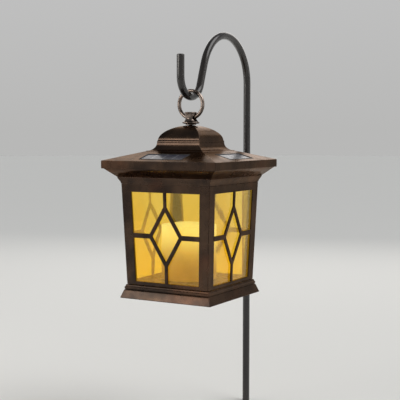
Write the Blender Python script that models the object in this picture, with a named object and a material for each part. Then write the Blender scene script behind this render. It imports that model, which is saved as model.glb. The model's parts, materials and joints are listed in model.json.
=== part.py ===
"""Solar garden lantern hanging on a shepherd's crook.

Every size below is in millimetres; a mesh is scaled to metres when it is made.
+Z is up. The row's origin is on the pole's axis at ground level. The lantern
hangs in front of the pole, towards -Y, and its own frame has its origin in the
middle of the lantern's underside, with the front face towards -Y.
"""
import math

import bmesh
import bpy
from mathutils import Matrix, Vector

MM = 0.001
GAP = 0.3                       # clearance between separate pieces that meet

# Where the lantern hangs
POLE_DISTANCE = 141.0           # pole's axis to lantern's axis
BASE_HEIGHT = 162.0             # lantern's underside above the ground
LANTERN = Vector((0, -POLE_DISTANCE, BASE_HEIGHT))
GROUND = Vector((0, 0, 0))

# Crook: a bent rod in the YZ plane
ROD_R = 4.5
ROD_SIDES = 12
ARCH_R = 57.0                   # centreline radius of the big arch
ARCH_TOP = 471.3                # centreline height of its top
LEAN = math.radians(20)         # lean of the short leg between arch and hook
HOOK_END = 442.4                # free end of the hook
ROD_JOINT = 236.0               # where the upper rod plugs onto the stake
SPIGOT_R = 3.1
SPIGOT_LENGTH = 24.0
BORE_R = 3.5
STAKE_TIP = -105.0
STAKE_TAPER = 32.0

# Hanging ring and finial, heights in the lantern's frame
RING_R = 15.8
RING_WIRE_R = 2.2
PIVOT_Z = 207.6                 # ring's lowest wire, on which the finial hangs
FINIAL_HOLE_R = 4.4
RING_CENTRE_Z = PIVOT_Z + RING_R
HOOK_Z = RING_CENTRE_Z + RING_R - RING_WIRE_R - GAP - ROD_R

# Roof
EAVE_HALF = 75.0
EAVE_BOTTOM = 150.0
SLOPE_OUT = (74.4, 159.2)       # half-width and height where the slope starts
SLOPE_IN = (38.0, 169.41)       # and where it ends, at the foot of the cove
COVE_R = 8.6
TIER_HALF = 28.8
TIER_BOTTOM = 170.0
TIER_TOP = 179.2
DOME_HALF = 28.0
DOME_SPRING = 182.0
DOME_RISE = 17.3
DOME_POWER = 1.85               # roundness of the dome's section
DOME_WALL = 1.4
STUD_R = 1.9
STUD_HOLE_HALF = 2.3
PANEL_HALF_WIDTH = 27.7
PANEL_FROM = 7.2                # distances up the slope from the eave
PANEL_TO = 26.8
PANEL_TOP_DEPTH = 0.25          # the panel lies this far below the slope
PANEL_THICK = 0.9
POCKET_DEPTH = PANEL_TOP_DEPTH + PANEL_THICK + GAP

# Body: four mitred window frames between the base ledge and the cornice
BODY_BOTTOM = 15.9
BODY_TOP = 132.4
BODY_BOTTOM_HALF = 54.0
BODY_TOP_HALF = 58.5
FRAME_DEPTH = 1.6
WINDOW_BOTTOM = 20.0
WINDOW_TOP = 123.3
WINDOW_BOTTOM_HALF = 42.0
WINDOW_TOP_HALF = 45.4
LATTICE_Z = 73.4                # centre of the diamond
DIAMOND_HALF_HEIGHT = 37.0
DIAMOND_HALF_WIDTH = 22.7
DIAMOND_INNER_HEIGHT = 28.5
MULLION_HALF = 2.0
ARM_HALF = 2.8
LATTICE_FRONT = -0.5            # the bars stand a little proud of the frames
LATTICE_BACK = 1.4
LATTICE_BITE = 1.0              # how far the bars run into the frame
PANE_FRONT = FRAME_DEPTH + GAP
PANE_BACK = PANE_FRONT + 1.4
PANE_LAP = 2.8                  # how far a pane reaches behind its frame
BRACKET_DEPTH = PANE_BACK + GAP
BRACKET_THICK = 1.2
BRACKET_LEG = 8.0

# Base
PLINTH_HALF = 60.0
PLINTH_TOP = 10.2
LEDGE_HALF = 56.3
PLATE_HALF = 57.0
PLATE_THICK = 2.0
FLOOR_TOP = 19.5
BOSSES = [(sx * 42.0, sy * 34.0) for sx in (-1, 1) for sy in (-1, 1)]
BOSS_R = 3.2
LEAD_R = 0.7
LEAD_CORNER = 44.5              # the main lead runs down the right-back corner

# Battery door hinge, in the lantern's frame
DOOR_Y = -10.4
DOOR_Z = 2.4
DOOR_HALF = 26.2
DOOR_THICK = 1.6
KNUCKLE_R = 1.7
PIN_R = 0.7
PIN_BORE_R = 0.95

# Candle
CANDLE_X = -3.0
CANDLE_R = 32.0
CANDLE_TOP = 83.7
LED_POST_TOP = 70.0

# Switch
SWITCH_X = 36.0
SLIDER_TRAVEL = 4.0             # rests at its +Y end

SIDES = ("front", "right", "back", "left")
SQUARE = [(-1, -1), (1, -1), (1, 1), (-1, 1)]


def circle(count):
    """Unit circle as a list of points, starting half a step off the X axis."""
    step = 2 * math.pi / count
    return [(math.cos((k + 0.5) * step), math.sin((k + 0.5) * step)) for k in range(count)]


def arc(centre, radius_h, radius_z, start, end, steps):
    """Points (h, z) along an elliptical arc; angles in degrees from +h."""
    points = []
    for k in range(steps + 1):
        a = math.radians(start + (end - start) * k / steps)
        points.append((centre[0] + radius_h * math.cos(a), centre[1] + radius_z * math.sin(a)))
    return points


# ---------------------------------------------------------------- shapes
# A shape is a pair (points, faces). Its points are in millimetres.

def join_rings(count, rings, closed):
    """Faces that join rings of points; an open run of rings is capped."""
    last = rings - 1
    pairs = [(i, i + 1) for i in range(last)] + ([(last, 0)] if closed else [])
    faces = []
    for a, b in pairs:
        for k in range(count):
            m = (k + 1) % count
            faces.append((a * count + k, a * count + m, b * count + m, b * count + k))
    if not closed:
        faces.append(tuple(range(count)))
        faces.append(tuple(last * count + k for k in range(count)))
    return faces


def sweep(profile, corners, closed=False, centre=(0, 0)):
    """Carry a profile of (half-width, height) points around a set of corners."""
    points = [(centre[0] + h * x, centre[1] + h * y, z) for h, z in profile for x, y in corners]
    return points, join_rings(len(corners), len(profile), closed)


def bar(profile, corners, centre):
    """A turned bar along X: the profile holds (radius, x) points."""
    points = [(x, centre[0] + r * a, centre[1] + r * b) for r, x in profile for a, b in corners]
    return points, join_rings(len(corners), len(profile), False)


def box(low, high):
    """A box between two corners."""
    xs, ys, zs = zip(low, high)
    points = [(x, y, z) for z in zs for x, y in rectangle(*xs, *ys)]
    return points, join_rings(4, 2, False)


def merge(*shapes):
    """Several shapes as one list of points and faces."""
    points, faces = [], []
    for more_points, more_faces in shapes:
        start = len(points)
        points += more_points
        faces += [tuple(start + i for i in face) for face in more_faces]
    return points, faces


def slab(loops, front, back):
    """A plate with holes: loops of (u, w) points, the outline first.

    front and back turn a (u, w) point into a point on either surface.
    """
    bm = bmesh.new()
    edges = []
    for loop in loops:
        verts = [bm.verts.new((u, w, 0)) for u, w in loop]
        edges += [bm.edges.new((verts[i - 1], verts[i])) for i in range(len(verts))]
    bm.verts.index_update()
    bmesh.ops.triangle_fill(bm, use_beauty=True, edges=edges)
    triangles = [tuple(v.index for v in face.verts) for face in bm.faces]
    bm.free()

    flat = [point for loop in loops for point in loop]
    total = len(flat)
    points = [front(u, w) for u, w in flat] + [back(u, w) for u, w in flat]
    faces = triangles + [tuple(total + i for i in face) for face in triangles]
    start = 0
    for loop in loops:
        count = len(loop)
        for k in range(count):
            a, b = start + k, start + (k + 1) % count
            faces.append((a, b, total + b, total + a))
        start += count
    return points, faces


def flat_slab(loops, low, high):
    """A level plate with holes between two heights."""
    return slab(loops, lambda u, w: (u, w, low), lambda u, w: (u, w, high))


def upright_slab(loop, x0, x1):
    """A plate that stands across X, with an outline of (y, z) points."""
    return slab([loop], lambda y, z: (x0, y, z), lambda y, z: (x1, y, z))


def rectangle(x0, x1, y0, y1):
    return [(x0, y0), (x1, y0), (x1, y1), (x0, y1)]


def hole(x, y, radius, count=12):
    return [(x + radius * a, y + radius * b) for a, b in circle(count)]


def quarter_turn(shape, turns):
    """Turn a shape about the lantern's axis, from the front to another side."""
    points, faces = shape
    for _ in range(turns):
        points = [(-y, x, z) for x, y, z in points]
    return points, faces


def smooth_path(knots, steps=5):
    """Points on a smooth curve through the knots (Catmull-Rom)."""
    knots = [Vector(k) for k in knots]
    ends = [2 * knots[0] - knots[1]] + knots + [2 * knots[-1] - knots[-2]]
    path = []
    for p0, p1, p2, p3 in zip(ends, ends[1:], ends[2:], ends[3:]):
        for k in range(steps):
            t = k / steps
            path.append(0.5 * (2 * p1 + (p2 - p0) * t + (2 * p0 - 5 * p1 + 4 * p2 - p3) * t * t
                               + (3 * p1 - p0 - 3 * p2 + p3) * t ** 3))
    return path + [knots[-1]]


# ---------------------------------------------------------------- objects

def make_material(name, colour, roughness, metallic=0.0, alpha=1.0, glow=0.0):
    material = bpy.data.materials.new(name)
    material.use_nodes = True
    shader = material.node_tree.nodes["Principled BSDF"]
    shader.inputs["Base Color"].default_value = (*colour, 1)
    shader.inputs["Roughness"].default_value = roughness
    shader.inputs["Metallic"].default_value = metallic
    shader.inputs["Alpha"].default_value = alpha
    if glow:
        shader.inputs["Emission Color"].default_value = (*colour, 1)
        shader.inputs["Emission Strength"].default_value = glow
    return material


def add_axis(name, place, parent=None):
    """An empty on a joint's axis, which its moving pieces hang from."""
    empty = bpy.data.objects.new(name, None)
    empty["place"] = tuple(place)
    start = Vector(parent["place"]) if parent else GROUND
    empty.parent = parent
    empty.location = (Vector(place) - start) * MM
    bpy.context.collection.objects.link(empty)
    return empty


def add_piece(name, shape, material, frame=GROUND, axis=None, smooth=30):
    """Make a shape into an object. A moving piece has its origin on its joint's axis."""
    points, faces = shape
    origin = Vector(axis["place"]) if axis else frame
    mesh = bpy.data.meshes.new(name)
    bm = bmesh.new()
    verts = [bm.verts.new((frame + Vector(p) - origin) * MM) for p in points]
    for face in faces:
        bm.faces.new([verts[i] for i in face])
    bmesh.ops.recalc_face_normals(bm, faces=bm.faces)
    bm.to_mesh(mesh)
    bm.free()
    mesh.materials.append(material)
    mesh.shade_smooth()
    mesh.set_sharp_from_angle(angle=math.radians(smooth))
    piece = bpy.data.objects.new(name, mesh)
    piece.parent = axis
    piece.location = (0, 0, 0) if axis else frame * MM
    bpy.context.collection.objects.link(piece)
    return piece


def combine(piece, shape, operation, frame, axis):
    """Join a shape to a piece, or cut it out, with a Boolean on a hidden helper."""
    helper = add_piece(piece.name + "_" + operation.lower(), shape, piece.data.materials[0], frame, axis)
    helper.hide_render = True
    helper.display_type = "WIRE"
    modifier = piece.modifiers.new(operation.title(), "BOOLEAN")
    modifier.operation = operation
    modifier.object = helper
    modifier.solver = "EXACT"


def cut(piece, shape, frame=LANTERN, axis=None):
    combine(piece, shape, "DIFFERENCE", frame, axis)


def weld(piece, shape, frame=LANTERN, axis=None):
    combine(piece, shape, "UNION", frame, axis)


def add_wire(name, path, radius, material, frame, axis):
    """A round wire along a path, with closed ends."""
    curve = bpy.data.curves.new(name, "CURVE")
    curve.dimensions = "3D"
    curve.bevel_depth = radius * MM
    curve.bevel_resolution = 1
    curve.resolution_u = 1
    curve.use_fill_caps = True
    spline = curve.splines.new("POLY")
    spline.points.add(len(path) - 1)
    for point, place in zip(spline.points, path):
        point.co = (*((frame + Vector(place) - Vector(axis["place"])) * MM), 1)
    curve.materials.append(material)
    wire = bpy.data.objects.new(name, curve)
    wire.parent = axis
    bpy.context.collection.objects.link(wire)
    return wire


# ---------------------------------------------------------------- crook

def crook_geometry():
    """Radius of the hook's U and the key points of the crook's centreline."""
    arch_y = -ARCH_R
    arch_z = ARCH_TOP - ARCH_R
    hook_low = BASE_HEIGHT + HOOK_Z
    lean_sin, lean_cos, lean_tan = math.sin(LEAN), math.cos(LEAN), math.tan(LEAN)
    # The U's arc, the leaning leg and the arch are tangent to each other.
    leg_y = POLE_DISTANCE + arch_y - ARCH_R * lean_cos
    leg_z = arch_z + ARCH_R * lean_sin
    hook_r = (leg_y - (leg_z - hook_low) * lean_tan) / (lean_cos - (1 - lean_sin) * lean_tan)
    return arch_y, arch_z, hook_r, hook_low


def crook_stations():
    """Rings (y, z, normal y, normal z, radius) from the bore's floor to the hook's free end."""
    arch_y, arch_z, hook_r, hook_low = crook_geometry()
    bore_top = ROD_JOINT + SPIGOT_LENGTH + 1
    stations = [(0, bore_top, 1, 0, BORE_R), (0, ROD_JOINT + GAP, 1, 0, BORE_R)]
    stations += [(0, ROD_JOINT + GAP, 1, 0, ROD_R), (0, (ROD_JOINT + arch_z) / 2, 1, 0, ROD_R)]
    arch_steps = 18
    arch_sweep = math.pi - LEAN
    for k in range(arch_steps + 1):
        a = arch_sweep * k / arch_steps
        y, z = math.cos(a), math.sin(a)
        stations.append((arch_y + ARCH_R * y, arch_z + ARCH_R * z, y, z, ROD_R))
    hook_y = -POLE_DISTANCE
    hook_z = hook_low + hook_r
    hook_steps = 14
    first = -LEAN
    for k in range(hook_steps + 1):
        a = first - (math.pi + first) * k / hook_steps
        y, z = math.cos(a), math.sin(a)
        stations.append((hook_y + hook_r * y, hook_z + hook_r * z, -y, -z, ROD_R))
    end_y = hook_y - hook_r
    for rise, radius in ((-1.6, ROD_R), (-0.5, ROD_R - 0.6), (0, ROD_R - 1.6)):
        stations.append((end_y, HOOK_END + rise, 1, 0, radius))
    return stations


def rod_shape(stations):
    corners = circle(ROD_SIDES)
    points = [(r * a, y + ny * r * b, z + nz * r * b) for y, z, ny, nz, r in stations for a, b in corners]
    return points, join_rings(ROD_SIDES, len(stations), False)


def build_crook(steel):
    add_piece("crook_upper", rod_shape(crook_stations()), steel)
    stake = [
        (SPIGOT_R, ROD_JOINT + SPIGOT_LENGTH), (SPIGOT_R, ROD_JOINT), (ROD_R, ROD_JOINT),
        (ROD_R, STAKE_TIP + STAKE_TAPER), (ROD_R * 0.72, STAKE_TIP + STAKE_TAPER * 0.35), (0.6, STAKE_TIP),
    ]
    add_piece("stake_lower", sweep(stake, circle(ROD_SIDES)), steel)


def build_ring(steel, axis):
    """A torus in the XZ plane."""
    ring_steps = 36
    corners = circle(8)
    points = []
    for k in range(ring_steps):
        a = 2 * math.pi * k / ring_steps
        for u, v in corners:
            reach = RING_R + RING_WIRE_R * u
            points.append((reach * math.cos(a), RING_WIRE_R * v, RING_CENTRE_Z + reach * math.sin(a)))
    add_piece("hanging_ring", (points, join_rings(8, ring_steps, True)), steel, LANTERN, axis)


# ---------------------------------------------------------------- roof

def slope_vectors():
    """Unit vectors up the roof slope and out of it, as (half-width, height)."""
    dh, dz = SLOPE_IN[0] - SLOPE_OUT[0], SLOPE_IN[1] - SLOPE_OUT[1]
    length = math.hypot(dh, dz)
    return (dh / length, dz / length), (dz / length, -dh / length)


def on_slope(u, up, depth):
    """A point on the front slope: u across, up from the eave, depth under the surface."""
    along, out = slope_vectors()
    h = SLOPE_OUT[0] + up * along[0] - depth * out[0]
    z = SLOPE_OUT[1] + up * along[1] - depth * out[1]
    return (u, -h, z)


def slope_box(half_width, start, end, top, bottom):
    corners = rectangle(-half_width, half_width, start, end)
    points = [on_slope(u, up, depth) for depth in (top, bottom) for u, up in corners]
    return points, join_rings(4, 2, False)


def dome_section(half, rise, steps):
    """Half-section of the four-sided dome, a superellipse from its foot to its top."""
    points = []
    for k in range(steps + 1):
        a = math.pi / 2 * k / steps
        h = half * math.cos(a) ** (2 / DOME_POWER)
        z = DOME_SPRING + rise * math.sin(a) ** (2 / DOME_POWER)
        if h > STUD_HOLE_HALF + 1:
            points.append((h, z))
    return points


def build_roof(bronze, silicon, board, copper, axis):
    outer = [(EAVE_HALF, EAVE_BOTTOM), (EAVE_HALF, SLOPE_OUT[1] - 0.6), SLOPE_OUT, SLOPE_IN]
    tier = arc((TIER_HALF + COVE_R, TIER_TOP), COVE_R, TIER_TOP - TIER_BOTTOM, 270, 180, 7)
    inner_tier = arc((TIER_HALF + COVE_R, TIER_TOP - 1.6), COVE_R + 2.2, 10.8, 180, 255, 5)
    inner = [(EAVE_HALF - 1.6, SLOPE_OUT[1] - 2.4), (EAVE_HALF - 1.6, EAVE_BOTTOM)]
    shell = outer + tier + [(TIER_HALF - 2.2, TIER_TOP)] + inner_tier + inner
    roof = add_piece("roof_shell", sweep(shell, SQUARE, closed=True), bronze, LANTERN, axis)
    lead_at = (PANEL_FROM + PANEL_TO) / 2
    x, y, z = on_slope(0, lead_at, POCKET_DEPTH)
    lead_hole = sweep([(1.5, z - 6), (1.5, z + 3)], circle(8), centre=(x, y))
    pocket = slope_box(PANEL_HALF_WIDTH + GAP, PANEL_FROM - GAP, PANEL_TO + GAP, -2, POCKET_DEPTH)
    panel_back = PANEL_TOP_DEPTH + PANEL_THICK
    panel = slope_box(PANEL_HALF_WIDTH, PANEL_FROM, PANEL_TO, PANEL_TOP_DEPTH, panel_back)
    start = on_slope(0, lead_at, panel_back + 2 * GAP)
    knots = [start, (0, start[1], 156), (0, -50, 150.5), (0, -30, 147.5), (0, -14, 146.4), (0, -9, 146.4)]
    lead = smooth_path(knots, 4)
    for turns, side in enumerate(SIDES):
        cut(roof, quarter_turn(pocket, turns), LANTERN, axis)
        cut(roof, quarter_turn(lead_hole, turns), LANTERN, axis)
        add_piece("solar_panel_" + side, quarter_turn(panel, turns), silicon, LANTERN, axis)
        route = quarter_turn((lead, []), turns)[0]
        add_wire("panel_lead_" + side, route, LEAD_R, copper, LANTERN, axis)
    add_piece("junction_board", box((-13, -11, 144), (13, 11, 145.2)), board, LANTERN, axis)

    foot = TIER_TOP + GAP
    band_half = DOME_HALF + 0.8
    band = [(band_half, foot), (band_half, DOME_SPRING - 0.8), (DOME_HALF + 0.4, DOME_SPRING - 0.2)]
    outside = dome_section(DOME_HALF, DOME_RISE, 12) + [(STUD_HOLE_HALF, DOME_SPRING + DOME_RISE)]
    inside = dome_section(DOME_HALF - DOME_WALL, DOME_RISE - DOME_WALL, 10)
    inside += [(STUD_HOLE_HALF, DOME_SPRING + DOME_RISE - DOME_WALL)]
    shell = band + outside + inside[::-1] + [(DOME_HALF - 0.1, DOME_SPRING - 1.4), (DOME_HALF - 0.1, foot)]
    add_piece("dome_cap", sweep(shell, SQUARE, closed=True), bronze, LANTERN, axis)


def build_finial(bronze, steel, axis):
    seat = DOME_SPRING + DOME_RISE + GAP
    profile = [
        (STUD_R, seat - 11), (STUD_R, seat), (6.3, seat), (6.3, seat + 1.2), (9.4, seat + 1.4),
        (10.3, seat + 2.5), (9.8, seat + 3.6), (8.0, seat + 4.6), (6.8, seat + 6), (6.4, seat + 7.8),
        (6.6, seat + 10), (7.0, seat + 12.4), (7.6, seat + 13.6), (7.5, seat + 14.6), (6.6, seat + 15.1),
    ]
    finial = add_piece("finial", sweep(profile, circle(20)), bronze, LANTERN, axis)
    cut(finial, bar([(FINIAL_HOLE_R, -12), (FINIAL_HOLE_R, 12)], circle(20), (0, PIVOT_Z)), LANTERN, axis)
    nut = [(4.0, seat - 5.4), (4.0, seat - 2.4), (STUD_R + GAP, seat - 2.4), (STUD_R + GAP, seat - 5.4)]
    add_piece("finial_nut", sweep(nut, circle(6), closed=True), steel, LANTERN, axis)


def screw_shape(x, y, head_z, tip_z, head_r=2.9):
    """A pan-head screw; its tip may be above or below its head."""
    way = math.copysign(1, tip_z - head_z)
    profile = [(head_r * 0.7, head_z), (head_r, head_z + 0.3 * way), (head_r, head_z + 0.8 * way),
               (1.05, head_z + 0.8 * way), (1.05, tip_z - way), (0.4, tip_z)]
    return sweep(profile, circle(8), centre=(x, y))


def build_cornice(bronze, steel, axis):
    """Cornice ring on the frames, and the tray that closes the roof from below."""
    outer = [(58.8, 132.7), (59.0, 134.2), (60.2, 136.4), (61.3, 138.2), (62.0, 140.0)]
    ring = add_piece("cornice", sweep(outer + [(50.5, 140.0), (50.5, 132.7)], SQUARE, closed=True),
                     bronze, LANTERN, axis)
    tray_profile = [(62.0, 140.3), (72.9, 149.9), (72.9, 151.3), (72.0, 151.3), (61.4, 141.7)]
    tray = add_piece("roof_tray", sweep(tray_profile, SQUARE), bronze, LANTERN, axis)
    corners = [(sx * 54.5, sy * 54.5) for sx, sy in SQUARE]
    pilots = [sweep([(1.5, 133.9), (1.5, 141)], circle(8), centre=c) for c in corners]
    holes = [sweep([(1.6, 139), (1.6, 143)], circle(8), centre=c) for c in corners]
    lead_hole = sweep([(1.8, 139), (1.8, 143)], circle(8), centre=(LEAD_CORNER, LEAD_CORNER))
    cut(ring, merge(*pilots), LANTERN, axis)
    cut(tray, merge(*holes, lead_hole), LANTERN, axis)
    for number, (x, y) in enumerate(corners, 1):
        add_piece("roof_screw_%d" % number, screw_shape(x, y, 142.8, 134.6), steel, LANTERN, axis)


# ---------------------------------------------------------------- body

def body_half(z):
    """Half-width of the tapered body at a height."""
    share = (z - BODY_BOTTOM) / (BODY_TOP - BODY_BOTTOM)
    return BODY_BOTTOM_HALF + (BODY_TOP_HALF - BODY_BOTTOM_HALF) * share


def window_half(z):
    share = (z - WINDOW_BOTTOM) / (WINDOW_TOP - WINDOW_BOTTOM)
    return WINDOW_BOTTOM_HALF + (WINDOW_TOP_HALF - WINDOW_BOTTOM_HALF) * share


def in_wall(depth):
    """Turn (u, z) into a point at a depth behind the body's front face."""
    return lambda u, z: (u, depth - body_half(z), z)


def trapezoid(half_low, low, half_high, high):
    return [(-half_low, low), (half_low, low), (half_high, high), (-half_high, high)]


def frame_shape():
    """One window frame, mitred at both sides, without its lattice."""
    mitre = GAP / 2 * math.sqrt(2)
    outline = trapezoid(body_half(BODY_BOTTOM) - mitre, BODY_BOTTOM, body_half(BODY_TOP) - mitre, BODY_TOP)
    window = trapezoid(WINDOW_BOTTOM_HALF, WINDOW_BOTTOM, WINDOW_TOP_HALF, WINDOW_TOP)

    def back(u, z):
        shift = FRAME_DEPTH if abs(u) > WINDOW_TOP_HALF + 1 else 0
        return in_wall(FRAME_DEPTH)(u - math.copysign(shift, u), z)

    return slab([outline, window], in_wall(0), back)


def lattice_shape():
    """The diamond and the four bars that hold it."""
    slant = DIAMOND_HALF_HEIGHT / DIAMOND_HALF_WIDTH
    notch = DIAMOND_HALF_HEIGHT - MULLION_HALF * slant
    elbow = DIAMOND_HALF_WIDTH - ARM_HALF / slant
    reach = window_half(LATTICE_Z) + LATTICE_BITE
    top = WINDOW_TOP + LATTICE_BITE - LATTICE_Z
    low = LATTICE_Z - WINDOW_BOTTOM + LATTICE_BITE
    right = [(MULLION_HALF, -low), (MULLION_HALF, -notch), (elbow, -ARM_HALF), (reach, -ARM_HALF),
             (reach, ARM_HALF), (elbow, ARM_HALF), (MULLION_HALF, notch), (MULLION_HALF, top)]
    left = [(-u, z) for u, z in reversed(right)]
    outline = [(u, z + LATTICE_Z) for u, z in right + left]
    inner_width = DIAMOND_INNER_HEIGHT / slant
    diamond = [(-inner_width, LATTICE_Z), (0, LATTICE_Z - DIAMOND_INNER_HEIGHT),
               (inner_width, LATTICE_Z), (0, LATTICE_Z + DIAMOND_INNER_HEIGHT)]
    return slab([outline, diamond], in_wall(LATTICE_FRONT), in_wall(LATTICE_BACK))


def pane_shape():
    low, high = 16.3, BODY_TOP - 2.4
    outline = trapezoid(window_half(low) + PANE_LAP, low, window_half(high) + PANE_LAP, high)
    return slab([outline], in_wall(PANE_FRONT), in_wall(PANE_BACK))


def bracket_shape():
    """An upright L-section behind the front-right corner, which holds two panes."""
    points = []
    for z in (FLOOR_TOP + GAP, BODY_TOP - GAP):
        h = body_half(z) - BRACKET_DEPTH
        inner = h - BRACKET_THICK
        far = h - BRACKET_LEG
        section = [(h, -h), (h, -far), (inner, -far), (inner, -inner), (far, -inner), (far, -h)]
        points += [(x, y, z) for x, y in section]
    return points, join_rings(6, 2, False)


def build_body(bronze, amber, steel, axis):
    for turns, side in enumerate(SIDES):
        border, lattice = quarter_turn(frame_shape(), turns), quarter_turn(lattice_shape(), turns)
        pane, bracket = quarter_turn(pane_shape(), turns), quarter_turn(bracket_shape(), turns)
        frame = add_piece("window_frame_" + side, border, bronze, LANTERN, axis)
        weld(frame, lattice, LANTERN, axis)
        add_piece("amber_pane_" + side, pane, amber, LANTERN, axis)
        add_piece("corner_bracket_%d" % (turns + 1), bracket, bronze, LANTERN, axis)


# ---------------------------------------------------------------- base

def build_base(bronze, plastic, axis):
    ledge = [(LEDGE_HALF, 10.5), (LEDGE_HALF, 12.9), (55.4, 13.6), (55.2, 14.9), (54.7, 15.6)]
    ledge += [(49.9, 15.6), (49.9, 10.5)]
    add_piece("base_ledge", sweep(ledge, SQUARE, closed=True), bronze, LANTERN, axis)
    skirt = [(PLINTH_HALF, 0), (PLINTH_HALF - 0.2, 1.0), (57.0, 8.6), (56.0, PLINTH_TOP),
             (47.4, PLINTH_TOP), (47.4, 9.0), (54.6, 9.0), (58.0, 0)]
    add_piece("base_plinth", sweep(skirt, SQUARE, closed=True), bronze, LANTERN, axis)

    pan = [(48.0, FLOOR_TOP), (48.0, 16.0), (49.4, 15.6), (49.4, 10.6), (48.2, 10.6),
           (48.2, 14.9), (46.8, 15.3), (46.8, FLOOR_TOP - 1.2)]
    tray = add_piece("candle_tray", sweep(pan, SQUARE), bronze, LANTERN, axis)
    boss = [(BOSS_R, PLATE_THICK + GAP), (BOSS_R, FLOOR_TOP - 0.6)]
    bosses = [sweep(boss, circle(12), centre=c) for c in BOSSES]
    pilots = [sweep([(1.3, 1), (1.3, 14)], circle(8), centre=c) for c in BOSSES]
    led_hole = sweep([(2.5, 17), (2.5, 21)], circle(12), centre=(CANDLE_X, 0))
    lead_hole = sweep([(1.8, 17), (1.8, 21)], circle(8), centre=(LEAD_CORNER, LEAD_CORNER))
    weld(tray, merge(*bosses), LANTERN, axis)
    cut(tray, merge(*pilots, led_hole, lead_hole), LANTERN, axis)

    outline = rectangle(-PLATE_HALF, PLATE_HALF, -PLATE_HALF, PLATE_HALF)
    door_way = rectangle(-DOOR_HALF - 0.4, DOOR_HALF + 0.4, DOOR_Y - 2.8, 8.4)
    slot = rectangle(SWITCH_X - 2.2, SWITCH_X + 2.2, -5, 5)
    screw_holes = [hole(x, y, 1.5) for x, y in BOSSES]
    plate_shape = flat_slab([outline, door_way, slot] + screw_holes, 0, PLATE_THICK)
    plate = add_piece("bottom_plate", plate_shape, plastic, LANTERN, axis)
    lug = [(-15.5, 1.2), (-13, 1.2), (DOOR_Y - 1, 1), (DOOR_Y + 0.8, 1), (DOOR_Y + 1.6, 1.6),
           (DOOR_Y + 1.6, 3.3), (DOOR_Y + 0.8, 4.1), (-15.5, 4.1)]
    lugs = [upright_slab(lug, x, x + 4.2) for x in (-11.8, 7.6)]
    posts = [sweep([(1.8, 1), (1.8, 4.7)], circle(10), centre=(x, -35)) for x in (-14, 10)]
    sinks = [sweep([(3.2, -1), (3.2, 1.2)], circle(12), centre=c) for c in BOSSES]
    pin_bore = bar([(PIN_BORE_R, -11.6), (PIN_BORE_R, 11.6)], circle(10), (DOOR_Y, DOOR_Z))
    weld(plate, merge(*lugs, *posts), LANTERN, axis)
    cut(plate, merge(*sinks, pin_bore), LANTERN, axis)


def build_door(plastic, steel, lantern_axis, door_axis):
    """Battery door: a plate notched around the lugs, with a knuckle on a steel pin."""
    hinge_edge, notch_edge, free_edge = DOOR_Y - 0.8, DOOR_Y + 1.9, 8.0
    right = [(7.2, hinge_edge), (7.2, notch_edge), (12.3, notch_edge), (12.3, hinge_edge),
             (DOOR_HALF, hinge_edge), (DOOR_HALF, free_edge)]
    left = [(-x, y) for x, y in reversed(right)]
    door = add_piece("battery_door", flat_slab([right + left], 0, DOOR_THICK), plastic, LANTERN, door_axis)
    weld(door, bar([(KNUCKLE_R, -7), (KNUCKLE_R, 7)], circle(12), (DOOR_Y, DOOR_Z)), LANTERN, door_axis)
    cut(door, bar([(PIN_BORE_R, -9), (PIN_BORE_R, 9)], circle(10), (DOOR_Y, DOOR_Z)), LANTERN, door_axis)
    pin = bar([(PIN_R, -11.3), (PIN_R, 11.3)], circle(8), (DOOR_Y, DOOR_Z))
    add_piece("door_pin", pin, steel, LANTERN, lantern_axis)


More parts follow.
